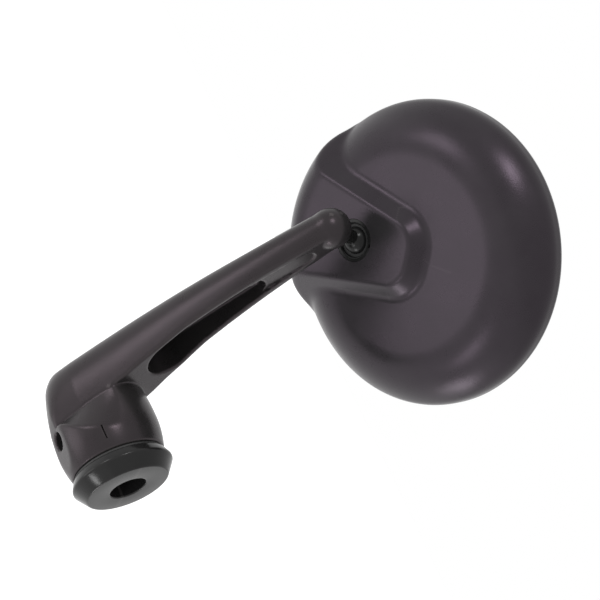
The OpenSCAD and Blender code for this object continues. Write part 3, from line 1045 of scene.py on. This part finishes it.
    def glass(self, shop: Workshop) -> Piece:
        """Makes the convex mirror glass with ground edges.

        Args:
            shop: The mesh helpers.

        Returns:
            The glass.
        """
        centre = self.glass_curve - (self.depth - self.glass_sink)
        radii = np.linspace(0, self.inner_r - self.glass_gap, 24)
        front = [(r, centre - math.sqrt(self.glass_curve ** 2 - r * r), 0) for r in radii]
        inner = self.glass_curve - self.glass_t
        back = [(r, centre - math.sqrt(inner ** 2 - r * r), 0) for r in radii[::-1]]
        front[-1] = (front[-1][0], front[-1][1], 0.35)
        back[0] = (back[0][0], back[0][1], 0.2)
        return shop.turned("convex_glass", rounded(front + back, 0.0), self.place, 192)

    def screws(self, shop: Workshop) -> Piece:
        """Makes the three cross-head screws that hold the carrier.

        Args:
            shop: The mesh helpers.

        Returns:
            The screws as one object.
        """
        seat = -self.carrier_back - 1.0
        low, high = seat - self.screw_head_t, seat + self.screw_l
        profile = [(0.0, low), (self.screw_head_r, low, 0.3), (self.screw_head_r, seat, 0.1),
                   (self.screw_r, seat, 0.1), (self.screw_r, seat + 4.9, 0.1), (0.0, high)]
        screw = shop.turned("carrier_screw", rounded(profile, 0.0), Matrix(), 48)
        recess = [shop.box("recess", (-1.3, -0.25, seat - 1), (1.3, 0.25, seat - 0.35),
                           Matrix.Rotation(math.radians(angle), 4, "Z")) for angle in (0, 90)]
        shop.combine(screw, recess, Solver.CUT)
        shop.around(screw, 3, self.post_ring_r, 90.0, Slot.ZINC)
        place = self.place.copy()
        place.translation *= MM
        screw.data.transform(place)
        return screw

    def build(self, shop: Workshop) -> None:
        """Makes and dresses the head's pieces.

        Args:
            shop: The mesh helpers.
        """
        shop.dress(self.shell(shop), Slot.SHELL, "head", ("head_shell",), 40.0)
        shop.dress(self.ring(shop), Slot.STEEL, "head", ("socket_ring",))
        shop.dress(self.glass(shop), Slot.MIRROR, "head", ("mirror_glass",))
        seal = band(self.inner_r - 0.7, self.inner_r - 0.05, -self.depth + 0.6, -self.depth + 3.8)
        gasket = shop.turned("glass_seal", rounded(seal, 0.25), self.place, 192)
        shop.dress(gasket, Slot.GASKET, "head", ("glass_gasket",))
        shop.paint("glass_carrier", Slot.CARRIER)
        shop.dress(self.screws(shop), Slot.ZINC, "head", ("carrier_screws",))
        shop.paint("adhesive_pad", Slot.FOAM)
        shop.paint("ball_liner", Slot.NYLON)


@dataclass
class BallStud:
    """Ball, neck, flange and threaded shank."""

    ball_r: float = 4.7
    neck_r: float = 2.4
    flange_r: float = 3.4
    flange_t: float = 1.0
    shank_r: float = 3.0
    shank_l: float = 9.0
    seat: float = 5.7
    length: float = 16.15
    at_tip: Matrix = field(default_factory=Matrix)

    def build(self, shop: Workshop) -> None:
        """Makes the stud.

        Args:
            shop: The mesh helpers.
        """
        start = math.asin(self.neck_r / self.ball_r)
        ball = [(self.ball_r * math.sin(a), self.length - self.ball_r * math.cos(a), 0)
                for a in np.linspace(start, math.pi, 40)]
        ball[-1] = (0.0, self.length + self.ball_r, 0)
        top = self.seat + self.flange_t
        profile = [(0.0, self.seat - self.shank_l), (self.shank_r, self.seat - self.shank_l, 0.5),
                   (self.shank_r, self.seat, 0), (self.flange_r, self.seat, 0.15), (self.flange_r, top, 0.3),
                   (self.neck_r, top, 0.5)]
        ball[0] = (ball[0][0], ball[0][1], 0.5)
        stud = shop.turned("ball_pin", rounded(profile + ball, 0.0), self.at_tip, 96)
        shop.dress(stud, Slot.STEEL, "ball", ("ball_stud",))


@dataclass
class Studio:
    """Camera at the photograph's angle, floor, white surroundings and soft lamps."""

    position: tuple = (-0.19417, 0.48168, 0.16223)
    right: tuple = (-0.3946, -0.3345, 0.8558)
    up: tuple = (0.8212, 0.2893, 0.4918)
    back: tuple = (-0.4121, 0.8969, 0.1606)
    lens: float = 102.0
    aim: tuple = (0.03, -0.005, 0.06)
    floor_z: float = -0.45
    floor_side: float = 3.0
    floor_glow: float = 0.7
    room_glow: float = 0.62

    def camera(self) -> None:
        """Makes the camera and sets it as the scene's."""
        data = bpy.data.cameras.new("camera")
        data.lens = self.lens
        data.sensor_width = 36.0
        data.clip_start = 0.01
        camera = bpy.data.objects.new("camera", data)
        turn = Matrix((self.right, self.up, self.back)).transposed().to_4x4()
        camera.matrix_world = Matrix.Translation(self.position) @ turn
        bpy.context.scene.collection.objects.link(camera)
        bpy.context.scene.camera = camera

    def lamp(self, name: str, spot: tuple, size: float, power: float) -> None:
        """Makes one soft area lamp that points at the part.

        Args:
            name: Name of the lamp.
            spot: Position in metres.
            size: Width of the square lamp in metres.
            power: Power in watts.
        """
        data = bpy.data.lights.new(name, "AREA")
        data.size = size
        data.energy = power
        lamp = bpy.data.objects.new(name, data)
        aim = Vector(self.aim) - Vector(spot)
        lamp.matrix_world = Matrix.Translation(spot) @ aim.to_track_quat("-Z", "Y").to_matrix().to_4x4()
        lamp.visible_camera = False
        bpy.context.scene.collection.objects.link(lamp)

    def white_for_camera(self, tree: bpy.types.NodeTree, low: float) -> bpy.types.NodeSocket:
        """Adds the switch that is 1 for camera, glossy and transmission rays.

        Args:
            tree: The node tree.
            low: The value for all other rays.

        Returns:
            The switch's output.
        """
        path = tree.nodes.new("ShaderNodeLightPath")
        seen = path.outputs["Is Camera Ray"]
        for ray in ("Is Glossy Ray", "Is Transmission Ray"):
            either = tree.nodes.new("ShaderNodeMath")
            either.operation = "MAXIMUM"
            tree.links.new(seen, either.inputs[0])
            tree.links.new(path.outputs[ray], either.inputs[1])
            seen = either.outputs["Value"]
        spread = tree.nodes.new("ShaderNodeMapRange")
        spread.inputs["To Min"].default_value = low
        tree.links.new(seen, spread.inputs["Value"])
        return spread.outputs["Result"]

    def surroundings(self) -> None:
        """Makes the white world and the pale floor that keeps a faint shadow."""
        scene = bpy.context.scene
        scene.view_settings.view_transform = "Standard"
        scene.world = bpy.data.worlds.new("white_room")
        scene.world.use_nodes = True
        tree = scene.world.node_tree
        background = tree.nodes["Background"]
        background.inputs["Color"].default_value = (1.0, 1.0, 1.0, 1.0)
        tree.links.new(self.white_for_camera(tree, self.room_glow), background.inputs["Strength"])
        mesh = bpy.data.meshes.new("floor")
        square = ((-1, -1), (1, -1), (1, 1), (-1, 1))
        corners = [(x * self.floor_side, y * self.floor_side, self.floor_z) for x, y in square]
        mesh.from_pydata(corners, [], [(0, 1, 2, 3)])
        floor = bpy.data.objects.new("floor", mesh)
        scene.collection.objects.link(floor)
        material = bpy.data.materials.new("pale_floor")
        material.use_nodes = True
        tree = material.node_tree
        matt = tree.nodes["Principled BSDF"]
        matt.inputs["Base Color"].default_value = (0.9, 0.9, 0.9, 1.0)
        matt.inputs["Roughness"].default_value = 0.9
        glow = tree.nodes.new("ShaderNodeEmission")
        joined = tree.nodes.new("ShaderNodeAddShader")
        amount = tree.nodes.new("ShaderNodeMath")
        amount.operation = "MULTIPLY"
        amount.inputs[1].default_value = self.floor_glow
        tree.links.new(self.white_for_camera(tree, 0.0), amount.inputs[0])
        tree.links.new(amount.outputs["Value"], glow.inputs["Strength"])
        tree.links.new(matt.outputs["BSDF"], joined.inputs[0])
        tree.links.new(glow.outputs["Emission"], joined.inputs[1])
        tree.links.new(joined.outputs["Shader"], tree.nodes["Material Output"].inputs["Surface"])
        mesh.materials.append(material)

    def build(self) -> None:
        """Makes camera, surroundings and lamps."""
        self.camera()
        self.surroundings()
        self.lamp("left", (0.14, 0.25, -0.29), 0.2, 0.27)
        self.lamp("upper_left", (0.34, 0.39, -0.04), 0.14, 0.38)
        self.lamp("upper_right", (0.14, 0.415, 0.39), 0.11, 0.72)
        self.lamp("under", (-0.34, -0.136, -0.24), 0.14, 0.45)
        self.lamp("lower_left", (-0.3, 0.234, -0.336), 0.09, 0.34)


def main() -> None:
    """Builds the studio and every sub-assembly, in order."""
    logging.basicConfig(level=logging.INFO, format="%(name)s: %(message)s")
    shop = Workshop()
    Studio().build()
    reach = BALL - TIP
    stud_turn = scad_turn((0, math.degrees(math.acos(reach.z / reach.length)),
                           math.degrees(math.atan2(reach.y, reach.x))))
    at_ball = Matrix.Translation(BALL) @ scad_turn(HEAD_TURN)
    head = Head(at_ball=at_ball)
    head.place = at_ball @ Matrix.Translation((-head.ball_offset, 0, -head.ball_z))
    Collar().build(shop)
    Arm(stud_way=reach.normalized()).build(shop)
    BallStud(length=reach.length, at_tip=Matrix.Translation(TIP) @ stud_turn).build(shop)
    head.build(shop)


if __name__ == "__main__":
    main()
